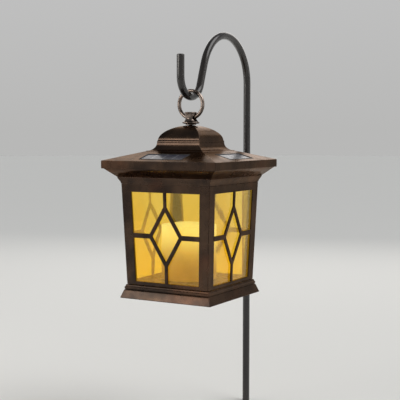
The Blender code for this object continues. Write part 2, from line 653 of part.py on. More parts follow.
def build_electrics(plastic, steel, board, black, cell_green, copper, axis, switch_axis):
    cell_z = PLATE_THICK + 0.6 + 5.25
    holder = add_piece("battery_holder", box((-27.6, -7.2, 2.3), (27.6, 7.2, 14.7)), black, LANTERN, axis)
    cut(holder, box((-26.4, -6, 1), (26.4, 6, 13.5)), LANTERN, axis)
    cell = [(4.6, -19.6), (5.25, -19.0), (5.25, 23.2), (4.2, 23.7), (1.9, 23.7), (1.9, 24.9)]
    add_piece("battery_cell", bar(cell, circle(14), (0, cell_z)), cell_green, LANTERN, axis)
    add_piece("contact_plate", box((25.2, -4.5, cell_z - 4), (25.8, 4.5, cell_z + 4)), steel, LANTERN, axis)
    turns, start, end, coil_r = 3, -25.7, -20.3, 3.3
    steps = turns * 9
    coil = []
    for k in range(steps + 1):
        a = 2 * math.pi * turns * k / steps
        x = start + (end - start) * k / steps
        coil.append((x, coil_r * math.cos(a), cell_z + coil_r * math.sin(a)))
    add_wire("contact_spring", coil, 0.35, steel, LANTERN, axis)

    body_shape = box((SWITCH_X - 3.4, -8, 2.3), (SWITCH_X + 3.4, 8, 7.5))
    body = add_piece("switch_body", body_shape, black, LANTERN, axis)
    cut(body, box((SWITCH_X - 1.9, -4.7, 1), (SWITCH_X + 1.9, 4.7, 5.4)), LANTERN, axis)
    knob_y = SLIDER_TRAVEL / 2
    slider = box((SWITCH_X - 1.6, knob_y - 2.3, 0.3), (SWITCH_X + 1.6, knob_y + 2.3, 5.1))
    add_piece("switch_slider", slider, plastic, LANTERN, switch_axis)

    add_piece("control_board", box((-20, -46, 5), (16, -24, 6.2)), board, LANTERN, axis)
    add_piece("charge_chip", box((-12, -40, 6.5), (-6, -36, 8)), black, LANTERN, axis)
    corner = LEAD_CORNER
    main = [(10, 6, 146.2), (14, 10, 146.2), (26, 24, 146), (40, 40, 145.4), (corner, corner, 142),
            (corner, corner, 136), (corner, corner, 100), (corner, corner, 60), (corner, corner, 24),
            (corner, corner, 16), (40, 43, 11), (32, 36, 9.5), (30, 20, 9), (30, 0, 9), (30, -16, 9),
            (22, -29, 8.2), (14, -33, 7.3), (11, -34, 7.3)]
    add_wire("main_lead", smooth_path(main, 3), LEAD_R, copper, LANTERN, axis)
    x = CANDLE_X
    led = [(x, -34, 7.3), (x, -30, 7.4), (x, -22, 10.5), (x, -15, 15.6), (x, -6, 16.6), (x, -0.9, 17.6),
           (x, 0, 21), (x, 0, 40), (x, 0, LED_POST_TOP - 4), (x, 0, LED_POST_TOP - 0.4)]
    add_wire("led_lead", smooth_path(led, 4), LEAD_R, copper, LANTERN, axis)
    for number, (bx, by) in enumerate(BOSSES, 1):
        add_piece("base_screw_%d" % number, screw_shape(bx, by, 0.1, 12), steel, LANTERN, axis)


def build_candle(wax, white, warm, axis):
    at = (CANDLE_X, 0)
    foot = FLOOR_TOP + GAP
    shell = [(CANDLE_R, foot), (CANDLE_R, 82.4), (CANDLE_R - 0.9, CANDLE_TOP), (CANDLE_R - 2.4, 83.3),
             (CANDLE_R - 5, 81.2), (CANDLE_R - 14, 80.3), (3.3, 80.1), (3.3, 78.1), (CANDLE_R - 6, 78.8),
             (CANDLE_R - 2.6, 76), (CANDLE_R - 2.6, foot)]
    add_piece("candle_shell", sweep(shell, circle(32), closed=True, centre=at), wax, LANTERN, axis)
    post = [(5, foot), (5, LED_POST_TOP), (3, LED_POST_TOP), (3, foot)]
    add_piece("led_post", sweep(post, circle(14), closed=True, centre=at), white, LANTERN, axis)
    seat = LED_POST_TOP + GAP
    led = [(2.9, seat), (2.9, seat + 1), (2.5, seat + 1), (2.5, seat + 6), (1.9, seat + 7.6), (0.9, seat + 8.5)]
    add_piece("led", sweep(led, circle(12), centre=at), warm, LANTERN, axis)


def main():
    for leftover in list(bpy.data.objects):
        bpy.data.objects.remove(leftover, do_unlink=True)

    steel_dark = make_material("dark_polished_steel", (0.035, 0.03, 0.027), 0.22, 0.9)
    bronze = make_material("rubbed_bronze", (0.055, 0.035, 0.03), 0.32, 0.85)
    amber = make_material("amber_acrylic", (0.9, 0.5, 0.08), 0.15, alpha=0.55)
    silicon = make_material("solar_silicon", (0.03, 0.035, 0.06), 0.12, 0.2)
    zinc = make_material("zinc_steel", (0.55, 0.55, 0.57), 0.35, 0.9)
    plastic = make_material("black_plastic", (0.03, 0.03, 0.03), 0.5)
    white = make_material("white_plastic", (0.8, 0.78, 0.72), 0.5)
    wax = make_material("candle_wax", (0.95, 0.78, 0.42), 0.45, glow=0.6)
    warm = make_material("warm_led", (1.0, 0.75, 0.3), 0.2, glow=4)
    board = make_material("circuit_board", (0.02, 0.16, 0.07), 0.4)
    copper = make_material("red_lead", (0.35, 0.03, 0.02), 0.5)
    cell_green = make_material("cell_sleeve", (0.05, 0.25, 0.12), 0.35)

    ring_axis = add_axis("ring_axis", LANTERN + Vector((0, 0, HOOK_Z)))
    lantern_axis = add_axis("lantern_axis", LANTERN + Vector((0, 0, PIVOT_Z)), ring_axis)
    door_axis = add_axis("door_axis", LANTERN + Vector((0, DOOR_Y, DOOR_Z)), lantern_axis)
    switch_axis = add_axis("switch_axis", LANTERN + Vector((SWITCH_X, 0, 0)), lantern_axis)

    build_crook(steel_dark)
    build_ring(steel_dark, ring_axis)
    build_finial(bronze, zinc, lantern_axis)
    build_roof(bronze, silicon, board, copper, lantern_axis)
    build_cornice(bronze, zinc, lantern_axis)
    build_body(bronze, amber, zinc, lantern_axis)
    build_base(bronze, plastic, lantern_axis)
    build_door(plastic, zinc, lantern_axis, door_axis)
    build_electrics(white, zinc, board, plastic, cell_green, copper, lantern_axis, switch_axis)
    build_candle(wax, white, warm, lantern_axis)


main()
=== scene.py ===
"""Looks of the solar lantern on its shepherd's crook.

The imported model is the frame: every piece made here lies where its node lies and
rides on that node's body. Sizes are in millimetres and are scaled to metres when a
mesh is made. The lantern's own frame has its origin in the middle of its underside,
with the front face towards -Y.
"""
import json
import math

import bmesh
import bpy
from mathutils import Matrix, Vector, noise

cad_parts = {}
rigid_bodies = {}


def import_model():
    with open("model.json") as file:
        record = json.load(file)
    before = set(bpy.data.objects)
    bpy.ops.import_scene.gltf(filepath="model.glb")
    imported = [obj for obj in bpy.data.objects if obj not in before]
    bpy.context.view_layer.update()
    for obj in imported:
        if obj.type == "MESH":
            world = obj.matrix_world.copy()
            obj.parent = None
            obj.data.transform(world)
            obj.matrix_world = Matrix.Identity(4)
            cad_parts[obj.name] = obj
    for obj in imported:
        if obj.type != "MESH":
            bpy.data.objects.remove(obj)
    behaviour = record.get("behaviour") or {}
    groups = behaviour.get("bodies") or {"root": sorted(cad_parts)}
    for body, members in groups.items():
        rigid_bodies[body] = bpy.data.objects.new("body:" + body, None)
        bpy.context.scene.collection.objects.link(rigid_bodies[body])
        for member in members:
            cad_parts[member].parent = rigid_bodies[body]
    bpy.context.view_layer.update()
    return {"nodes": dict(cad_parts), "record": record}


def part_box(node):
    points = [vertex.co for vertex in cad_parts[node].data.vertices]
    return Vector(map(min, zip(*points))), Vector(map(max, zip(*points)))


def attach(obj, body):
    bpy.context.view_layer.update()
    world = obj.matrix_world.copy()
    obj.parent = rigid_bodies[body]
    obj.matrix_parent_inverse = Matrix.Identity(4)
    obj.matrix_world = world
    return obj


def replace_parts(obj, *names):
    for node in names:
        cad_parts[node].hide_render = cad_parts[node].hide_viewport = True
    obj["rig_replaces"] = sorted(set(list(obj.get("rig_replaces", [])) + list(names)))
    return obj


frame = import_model()
SLOTS = {row["node"]: row["material_slot"] for row in frame["record"]["subparts"]}

MM = 0.001
SIDES = ("front", "right", "back", "left")


def middle(node):
    """Centre of a CAD node's box, in millimetres."""
    low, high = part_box(node)
    return (low + high) / 2 / MM


PLINTH_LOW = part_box("base_plinth")[0]
LANTERN = Vector((0, middle("base_plinth").y, PLINTH_LOW.z / MM))
GROUND = Vector((0, 0, 0))

# Sizes of the frame, in millimetres. Heights are above the lantern's underside.
GAP = 0.3                        # clearance between CAD solids that meet
SEAM = 0.05                      # left between fixed pieces here, so that no light shows through

ROD_R = 4.5
ARCH_R = 57.0
LEAN = math.radians(20)
BORE_R = 3.5
SPIGOT_R = 3.1
RING_R = 15.8
RING_WIRE_R = 2.2
HOOK_END = 442.4                 # free end of the hook, above the ground

EAVE_HALF = 75.0
EAVE_BOTTOM = 150.0
SLOPE_OUT = (74.4, 159.2)
SLOPE_IN = (38.0, 169.41)
COVE_R = 8.6
TIER_HALF = 28.8
TIER_BOTTOM = 170.0
TIER_TOP = 179.2
DOME_HALF = 28.0
DOME_SPRING = 182.0
DOME_RISE = 17.3
DOME_POWER = 1.85
DOME_WALL = 1.4
STUD_HOLE_HALF = 2.3
FINIAL_HOLE_R = 4.4
PANEL_HALF_WIDTH = 27.7
PANEL_FROM = 7.2                 # distances up the slope from the eave
PANEL_TO = 26.8
PANEL_TOP_DEPTH = 0.25           # the cell lies this far below the slope
PANEL_THICK = 0.9

BODY_BOTTOM = 15.9
BODY_TOP = 132.4
BODY_BOTTOM_HALF = 54.0
BODY_TOP_HALF = 58.5
FRAME_DEPTH = 1.6
WINDOW_BOTTOM = 20.0
WINDOW_TOP = 123.3
WINDOW_BOTTOM_HALF = 42.0
WINDOW_TOP_HALF = 45.4
LATTICE_Z = 73.4
DIAMOND_HALF_HEIGHT = 37.0
DIAMOND_HALF_WIDTH = 22.7
DIAMOND_INNER_HEIGHT = 28.5
MULLION_HALF = 2.0
ARM_HALF = 2.8
LATTICE_FRONT = -0.5             # the bars stand a little proud of the frame
LATTICE_BACK = 1.4
LATTICE_BITE = 1.0               # how far the bars run into the frame
PANE_FRONT = 1.9
PANE_BACK = 3.3
PANE_LAP = 2.8                   # how far a pane reaches behind its frame
PANE_BOTTOM = 16.3
TRAY_FOOT = 140.3                # where the soffit starts, above the cornice

CANDLE_R = 32.0
CANDLE_FOOT = 19.8
CANDLE_TOP = 83.7


# ---------------------------------------------------------------- camera and stage

def make_camera():
    camera = bpy.data.objects.new("camera", bpy.data.cameras.new("camera"))
    camera.location = (0.5739, -1.1021, 0.3563)
    camera.rotation_euler = (math.radians(85.79), 0, math.radians(30.30))
    camera.data.sensor_width = 36
    camera.data.lens = 86.2
    camera.data.clip_start = 0.01
    bpy.context.collection.objects.link(camera)
    bpy.context.scene.camera = camera


def area_light(name, place, target, width, height, power, colour):
    light = bpy.data.lights.new(name, "AREA")
    light.shape = "RECTANGLE"
    light.size = width
    light.size_y = height
    light.energy = power
    light.color = colour
    lamp = bpy.data.objects.new(name, light)
    lamp.location = place
    lamp.rotation_euler = (Vector(place) - Vector(target)).to_track_quat("Z", "Y").to_euler()
    lamp.visible_camera = False
    bpy.context.collection.objects.link(lamp)


def make_stage():
    """A plain pale floor at ground level, soft boxes, and a dim even surround."""
    mesh = bpy.data.meshes.new("floor")
    bm = bmesh.new()
    bmesh.ops.create_circle(bm, cap_ends=True, radius=12, segments=96)
    bm.to_mesh(mesh)
    bm.free()
    floor = bpy.data.objects.new("floor", mesh)
    bpy.context.collection.objects.link(floor)
    graph = Graph("floor_matte", (0.80, 0.80, 0.78), 0.9)
    graph.shader.inputs["Specular IOR Level"].default_value = 0.2
    mesh.materials.append(graph.material)

    centre = (0, -0.141, 0.30)
    area_light("back_softbox", (-0.55, 1.35, 1.05), centre, 1.9, 0.9, 5.8, (1.0, 0.95, 0.90))
    area_light("front_left_softbox", (-0.85, -1.45, 0.74), centre, 0.8, 0.45, 5.6, (1.0, 0.94, 0.86))
    area_light("side_softbox", (1.5, -0.1, 1.6), centre, 1.3, 1.3, 2.6, (1.0, 0.96, 0.90))
    area_light("left_strip", (-1.25, -0.95, 0.40), centre, 0.12, 1.3, 4.0, (1.0, 0.97, 0.94))
    area_light("right_strip", (1.35, 0.45, 0.40), centre, 0.10, 1.3, 1.4, (1.0, 0.97, 0.94))
    sun = bpy.data.objects.new("key", bpy.data.lights.new("key", "SUN"))
    sun.data.energy, sun.data.angle = 1.5, math.radians(50)
    sun.rotation_euler = Vector((0.75, 0.25, 1.0)).to_track_quat("Z", "Y").to_euler()
    bpy.context.collection.objects.link(sun)

    world = bpy.data.worlds.new("surround")
    world.use_nodes = True
    nodes, links = world.node_tree.nodes, world.node_tree.links
    split = nodes.new("ShaderNodeSeparateXYZ")
    links.new(nodes.new("ShaderNodeTexCoord").outputs["Generated"], split.inputs[0])
    climb = nodes.new("ShaderNodeValToRGB")
    ramp = climb.color_ramp.elements
    ramp[0].color, ramp[1].color = (0.80, 0.80, 0.79, 1), (0.30, 0.31, 0.32, 1)
    ramp.new(0.16).color = (0.88, 0.88, 0.88, 1)
    ramp.new(0.5).color = (0.40, 0.41, 0.42, 1)
    links.new(split.outputs["Z"], climb.inputs["Fac"])
    links.new(climb.outputs["Color"], nodes["Background"].inputs["Color"])
    nodes["Background"].inputs["Strength"].default_value = 0.6
    bpy.context.scene.world = world
    bpy.context.scene.view_settings.view_transform = "Standard"


# ---------------------------------------------------------------- material graphs

class Graph:
    """A material built round one Principled shader."""

    def __init__(self, name, colour, roughness, metallic=0.0, **sockets):
        self.material = bpy.data.materials.new(name)
        self.material.use_nodes = True
        self.tree = self.material.node_tree
        self.shader = self.tree.nodes["Principled BSDF"]
        self.shader.inputs["Base Color"].default_value = (*colour, 1)
        self.shader.inputs["Roughness"].default_value = roughness
        self.shader.inputs["Metallic"].default_value = metallic
        for socket, value in sockets.items():
            self.shader.inputs[socket.replace("_", " ").title().replace("Ior", "IOR")].default_value = value
        self.coordinates = None

    def add(self, kind, inputs=(), **settings):
        """A new node with its settings, and its inputs set or linked."""
        node = self.tree.nodes.new(kind)
        for key, value in settings.items():
            setattr(node, key, value)
        for key, value in dict(inputs).items():
            if hasattr(value, "is_output"):
                self.tree.links.new(value, node.inputs[key])
            else:
                node.inputs[key].default_value = value
        return node

    def link(self, output, socket):
        self.tree.links.new(output, self.shader.inputs[socket])

    def place(self, stretch=(1, 1, 1)):
        """Coordinates fixed to the object, in metres, stretched if asked."""
        if self.coordinates is None:
            self.coordinates = self.add("ShaderNodeTexCoord").outputs["Object"]
        return self.add("ShaderNodeMapping", {"Vector": self.coordinates, "Scale": stretch}).outputs[0]

    def noise(self, scale, detail=3.0, stretch=(1, 1, 1), distortion=0.0):
        inputs = {"Vector": self.place(stretch), "Scale": scale, "Detail": detail, "Distortion": distortion}
        return self.add("ShaderNodeTexNoise", inputs).outputs["Fac"]

    def range(self, value, low, high, to_low=0.0, to_high=1.0):
        """A value mapped smoothly from one range onto another."""
        inputs = {"Value": value, "From Min": low, "From Max": high, "To Min": to_low, "To Max": to_high}
        return self.add("ShaderNodeMapRange", inputs, interpolation_type="SMOOTHSTEP").outputs[0]

    def math(self, operation, a, b=0.0):
        return self.add("ShaderNodeMath", {0: a, 1: b}, operation=operation).outputs[0]

    def mix(self, factor, a, b):
        """A colour between two colours."""
        inputs = {"Factor": factor, "A": a, "B": b}
        node = self.add("ShaderNodeMix", data_type="RGBA")
        for key, value in inputs.items():
            socket = next(s for s in node.inputs if s.name == key and (key == "Factor" or s.type == "RGBA"))
            if hasattr(value, "is_output"):
                self.tree.links.new(value, socket)
            else:
                socket.default_value = value if key == "Factor" else (*value, 1)
        return next(s for s in node.outputs if s.type == "RGBA")

    def bump(self, height, strength, distance):
        inputs = {"Height": height, "Strength": strength, "Distance": distance}
        self.link(self.add("ShaderNodeBump", inputs).outputs[0], "Normal")

    def height(self, low, high):
        """0 below one height and 1 above the other, in metres."""
        split = self.add("ShaderNodeSeparateXYZ", {0: self.place()})
        return self.range(split.outputs["Z"], low, high)


def edge_mask(graph, radius, low, high):
    """1 along convex and concave edges of the mesh, 0 on its open faces."""
    rounded = graph.add("ShaderNodeBevel", {"Radius": radius}, samples=6).outputs[0]
    normal = graph.add("ShaderNodeNewGeometry").outputs["True Normal"]
    dot = graph.add("ShaderNodeVectorMath", {0: rounded, 1: normal}, operation="DOT_PRODUCT").outputs["Value"]
    return graph.range(graph.math("SUBTRACT", 1.0, dot), low, high)


def bronze_material():
    """Oil-rubbed bronze: near-black brown, with copper along the edges that is partly real edge wear and
    partly a painted highlight.
    """
    graph = Graph("rubbed_bronze", (0.05, 0.03, 0.02), 0.3, 0.9, coat_weight=0.2, coat_roughness=0.15)
    graph.shader.inputs["Specular Tint"].default_value = (0.72, 0.55, 0.44, 1)
    cloud = graph.range(graph.noise(38, 4), 0.35, 0.7)
    tone = graph.mix(cloud, (0.024, 0.015, 0.011), (0.060, 0.035, 0.022))
    flush = graph.math("MULTIPLY", graph.range(graph.noise(16, 3), 0.54, 0.76), 0.3)
    tone = graph.mix(flush, tone, (0.17, 0.060, 0.025))
    edge_wear_and_highlight = graph.range(graph.noise(26, 3), 0.36, 0.66)
    edge = edge_mask(graph, 0.6 * MM, 0.08, 0.4)
    # Copper along convex and concave edges: partly the finish's real edge wear, partly a painted highlight on
    # the edges.
    rubbed = graph.math("MULTIPLY", edge, edge_wear_and_highlight)
    graph.link(graph.mix(rubbed, tone, (0.34, 0.17, 0.10)), "Base Color")
    grain = graph.noise(1400, 2)
    rough = graph.range(graph.noise(60, 4), 0.3, 0.75, 0.22, 0.38)
    graph.link(rough, "Roughness")
    graph.bump(grain, 0.10, 0.05 * MM)
    return graph.material


def polished_material():
    """Burnished bronze of the finial and the ring: lighter, with soft scratches."""
    graph = Graph("burnished_bronze", (0.35, 0.26, 0.22), 0.2, 1.0)
    cloud = graph.range(graph.noise(160, 4), 0.35, 0.7)
    graph.link(graph.mix(cloud, (0.11, 0.085, 0.07), (0.36, 0.29, 0.25)), "Base Color")
    graph.link(graph.range(graph.noise(300, 4, (1, 1, 6)), 0.3, 0.7, 0.14, 0.3), "Roughness")
    graph.bump(graph.noise(900, 3), 0.15, 0.05 * MM)
    return graph.material


def enamel_material():
    """Glossy black-brown enamel of the crook, slightly uneven as dipped rod is."""
    graph = Graph("black_enamel", (0.02, 0.017, 0.015), 0.25, 0.0, coat_weight=0.8, coat_roughness=0.14)
    graph.shader.inputs["Specular IOR Level"].default_value = 0.2
    cloud = graph.range(graph.noise(30, 4, (1, 1, 0.25)), 0.35, 0.7)
    graph.link(graph.mix(cloud, (0.008, 0.007, 0.007), (0.026, 0.021, 0.018)), "Base Color")
    graph.link(graph.range(graph.noise(30, 2, (1, 1, 0.3)), 0.3, 0.7, 0.2, 0.3), "Roughness")
    return graph.material


def amber_material():
    """Streaky amber glass, clear enough to see through, with the candle's light painted into it: a faint
    emission and a tone that is paler towards the top.
    """
    graph = Graph("amber_glass", (0.95, 0.6, 0.12), 0.05, 0.0, transmission_weight=1.0, ior=1.46)
    streak = graph.range(graph.noise(26, 4, (1, 1, 0.22), 0.6), 0.3, 0.7)
    rise = graph.height(PLINTH_LOW.z + 0.02, PLINTH_LOW.z + 0.125)
    # Painted candle light: the panes are painted deeper amber at the foot and paler towards the top, where
    # the lit candle shows through them.
    deep = graph.mix(streak, (0.90, 0.72, 0.15), (0.88, 0.63, 0.07))
    clear = graph.mix(streak, (0.93, 0.80, 0.35), (0.92, 0.71, 0.18))
    graph.link(graph.mix(rise, deep, clear), "Base Color")
    # Painted light: an emission that stands in for the candle's light caught in the glass, which is no lamp.
    painted_candle_glow = graph.mix(rise, (0.09, 0.050, 0.003), (0.08, 0.055, 0.008))
    graph.link(painted_candle_glow, "Emission Color")
    graph.shader.inputs["Emission Strength"].default_value = 1.0
    graph.link(graph.range(graph.noise(50, 3), 0.3, 0.7, 0.03, 0.10), "Roughness")
    graph.bump(graph.noise(70, 3, (1, 1, 0.35), 0.8), 0.12, 0.5 * MM)
    return graph.material


def wax_material():
    """Imitation wax, lit from inside: bright at the top, sinking to a dull foot."""
    graph = Graph("candle_wax", (0.9, 0.75, 0.48), 0.45, 0.0, subsurface_weight=0.25)
    graph.shader.inputs["Subsurface Radius"].default_value = (0.012, 0.006, 0.003)
    foot = PLINTH_LOW.z + 0.030
    lit = graph.height(foot, PLINTH_LOW.z + 0.080)
    mottle = graph.range(graph.noise(45, 4), 0.3, 0.7)
    graph.link(graph.mix(mottle, (0.66, 0.51, 0.28), (0.75, 0.62, 0.37)), "Base Color")
    low = graph.mix(mottle, (0.04, 0.025, 0.006), (0.07, 0.045, 0.01))
    graph.link(graph.mix(graph.math("POWER", lit, 1.4), low, (0.70, 0.71, 0.50)), "Emission Color")
    graph.shader.inputs["Emission Strength"].default_value = 1.0
    graph.bump(graph.noise(120, 4), 0.2, 0.3 * MM)
    return graph.material


def solar_material(axis):
    """Dark silicon in strips along one axis, with fine silver lines, under clear resin."""
    name = "solar_cell_" + axis.lower()
    graph = Graph(name, (0.02, 0.02, 0.03), 0.3, 0.0, coat_weight=0.35, coat_roughness=0.12)
    graph.shader.inputs["Specular IOR Level"].default_value = 0.2
    split = graph.add("ShaderNodeSeparateXYZ", {0: graph.place()})
    along = split.outputs[axis]
    if axis == "Y":
        along = graph.math("SUBTRACT", along, LANTERN.y * MM)
    width = 2 * PANEL_HALF_WIDTH * MM
    strip = graph.math("PINGPONG", graph.math("ADD", along, width), width / 8)
    line = graph.range(strip, 0.00035, 0.0002)
    grid = graph.range(graph.math("PINGPONG", along, 0.0011), 0.00016, 0.00008)
    flake = graph.range(graph.noise(700, 3), 0.35, 0.7)
    cell = graph.mix(flake, (0.008, 0.010, 0.022), (0.022, 0.026, 0.055))
    ruled = graph.mix(graph.math("MULTIPLY", grid, 0.35), cell, (0.30, 0.31, 0.34))
    graph.link(graph.mix(line, ruled, (0.42, 0.42, 0.43)), "Base Color")
    graph.bump(graph.noise(420, 2), 0.06, 0.1 * MM)
    return graph.material


def plain_material(name, dark, light, roughness, metallic=0.0, scale=300, bump=0.15, **sockets):
    """Two close tones in a fine grain, for moulded plastic, plated steel and the like."""
    graph = Graph(name, light, roughness, metallic, **sockets)
    grain = graph.noise(scale, 4)
    graph.link(graph.mix(graph.range(grain, 0.35, 0.65), dark, light), "Base Color")
    patch = graph.noise(scale / 4, 3)
    graph.link(graph.range(patch, 0.3, 0.7, roughness * 0.75, roughness * 1.25), "Roughness")
    graph.bump(grain, bump, 0.1 * MM)
    return graph.material


def led_material():
    """The clear lens of a lit LED."""
    graph = Graph("led_lens", (1.0, 0.85, 0.55), 0.1, 0.0, coat_weight=1.0)
    lit = graph.range(graph.noise(500, 2), 0.3, 0.7, 0.85, 1.0)
    graph.link(graph.mix(lit, (1.0, 0.6, 0.25), (1.0, 0.80, 0.45)), "Emission Color")
    graph.shader.inputs["Emission Strength"].default_value = 9
    return graph.material


def all_materials():
    return {
        "crook_enamel": enamel_material(),
        "burnished_bronze": polished_material(),
        "lantern_bronze": bronze_material(),
        "amber_glass": amber_material(),
        "candle_wax": wax_material(),
        "led_lens": led_material(),
        "solar_x": solar_material("X"),
        "solar_y": solar_material("Y"),
        "white_plastic": plain_material("white_plastic", (0.66, 0.63, 0.56), (0.80, 0.77, 0.70), 0.45),
        "black_plastic": plain_material(
            "black_plastic", (0.012, 0.012, 0.013), (0.030, 0.029, 0.028), 0.5, bump=0.4),
        "zinc_steel": plain_material("zinc_steel", (0.48, 0.49, 0.50), (0.66, 0.66, 0.64), 0.28, 1.0, 500),
        "circuit_board": plain_material(
            "circuit_board", (0.010, 0.10, 0.045), (0.02, 0.17, 0.075), 0.35, 0.0, 180, coat_weight=0.6),
        "lead_insulation": plain_material("lead_insulation", (0.25, 0.015, 0.012), (0.38, 0.03, 0.02), 0.5),
        "cell_sleeve": plain_material(
            "cell_sleeve", (0.02, 0.16, 0.08), (0.04, 0.24, 0.12), 0.3, 0.1, 60, 0.05, coat_weight=0.8),
    }


# ---------------------------------------------------------------- shapes
# A shape is a pair (points, faces), with its points in millimetres.

def circle(count):
    return [(math.cos(2 * math.pi * k / count), math.sin(2 * math.pi * k / count)) for k in range(count)]


def join_rings(count, rings, closed=False, capped=True):
    """Faces that join rings of points; an open run of rings can be capped."""
    last = rings - 1
    pairs = [(i, i + 1) for i in range(last)] + ([(last, 0)] if closed else [])
    faces = []
    for a, b in pairs:
        for k in range(count):
            m = (k + 1) % count
            faces.append((a * count + k, a * count + m, b * count + m, b * count + k))
    if capped and not closed:
        faces.append(tuple(range(count)))
        faces.append(tuple(last * count + k for k in range(count)))
    return faces


def turned(profile, count, closed=False, centre=(0, 0)):
    """Turn a profile of (radius, height) points round an upright axis."""
    corners = circle(count)
    points = [(centre[0] + r * x, centre[1] + r * y, z) for r, z in profile for x, y in corners]
    return points, join_rings(count, len(profile), closed)


def squared(profile, fillet=0.5, closed=True, steps=3):
    """Carry a profile of (half-width, height) points round a square with eased corners."""
    points = []
    for half, z in profile:
        ease = min(fillet, half * 0.45)
        for turn in range(4):
            quarter = math.pi / 2 * turn
            cx, cy = half - ease, half - ease
            for _ in range(turn):
                cx, cy = -cy, cx
            for k in range(steps + 1):
                a = quarter + math.pi / 2 * k / steps
                points.append((cx + ease * math.cos(a), cy + ease * math.sin(a), z))
    return points, join_rings(4 * (steps + 1), len(profile), closed)


def eased(profile, radius, closed=True, steps=3, turn=20):
    """Round the corners of a profile that turn by more than some degrees."""
    points = []
    count = len(profile)
    for i, corner in enumerate(profile):
        here = Vector(corner)
        before, after = Vector(profile[i - 1]), Vector(profile[(i + 1) % count])
        ends = not closed and i in (0, count - 1)
        if ends or (here - before).angle(after - here, 0) < math.radians(turn):
            points.append(corner)
            continue
        back, on = before - here, after - here
        reach = min(radius, back.length * 0.45, on.length * 0.45)
        start, end = here + back.normalized() * reach, here + on.normalized() * reach
        for k in range(steps + 1):
            t = k / steps
            p = start * (1 - t) ** 2 + here * 2 * t * (1 - t) + end * t * t
            points.append((p.x, p.y))
    return points


def arc(centre, radius_h, radius_z, start, end, steps):
    points = []
    for k in range(steps + 1):
        a = math.radians(start + (end - start) * k / steps)
        points.append((centre[0] + radius_h * math.cos(a), centre[1] + radius_z * math.sin(a)))
    return points


def slab(loops, front, back):
    """A plate with holes, from loops of (u, w) points and its two surfaces."""
    bm = bmesh.new()
    edges = []
    for loop in loops:
        verts = [bm.verts.new((u, w, 0)) for u, w in loop]
        edges += [bm.edges.new((verts[i - 1], verts[i])) for i in range(len(verts))]
    bm.verts.index_update()
    bmesh.ops.triangle_fill(bm, use_beauty=True, edges=edges)
    triangles = [tuple(v.index for v in face.verts) for face in bm.faces]
    bm.free()
    flat = [point for loop in loops for point in loop]
    total = len(flat)
    points = [front(u, w) for u, w in flat] + [back(u, w) for u, w in flat]
    faces = triangles + [tuple(total + i for i in face) for face in triangles]
    start = 0
    for loop in loops:
        count = len(loop)
        for k in range(count):
            a, b = start + k, start + (k + 1) % count
            faces.append((a, b, total + b, total + a))
        start += count
    return points, faces


def quarter_turn(shape, turns):
    points, faces = shape
    for _ in range(turns):
        points = [(-y, x, z) for x, y, z in points]
    return points, faces


# ---------------------------------------------------------------- pieces

def round_edges(bm, width):
    """Merge flat faces into one, then bevel the sharp edges."""
    bmesh.ops.dissolve_limit(bm, angle_limit=math.radians(0.5), verts=bm.verts, edges=bm.edges)
    sharp = [e for e in bm.edges if e.is_manifold and e.calc_face_angle() > math.radians(35)]
    bmesh.ops.bevel(bm, geom=sharp, offset=width * MM, segments=2, profile=0.5, affect="EDGES",
                    clamp_overlap=True)


def make_mesh(name, shape, origin=LANTERN, bevel=0.0):
    """A shape as a mesh in the shared frame, its sharp edges rounded if asked."""
    points, faces = shape
    mesh = bpy.data.meshes.new(name)
    bm = bmesh.new()
    verts = [bm.verts.new((origin + Vector(p)) * MM) for p in points]
    for face in faces:
        bm.faces.new([verts[i] for i in face])
    bmesh.ops.recalc_face_normals(bm, faces=bm.faces)
    if bevel:
        round_edges(bm, bevel)
    bm.to_mesh(mesh)
    bm.free()
    mesh.shade_smooth()
    mesh.set_sharp_from_angle(angle=math.radians(50))
    return mesh


def add_piece(name, mesh, slot, body, *nodes, material=None):
    """Show a mesh as a piece that rides on a body, in place of CAD nodes."""
    piece = bpy.data.objects.new(name, mesh)
    bpy.context.collection.objects.link(piece)
    mesh.materials.append(MATERIALS[material or slot])
    weighted = piece.modifiers.new("even_normals", "WEIGHTED_NORMAL")
    weighted.keep_sharp = True
    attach(piece, body)
    if nodes:
        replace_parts(piece, *nodes)
    return piece


MATERIALS = all_materials()


# ---------------------------------------------------------------- crook and ring

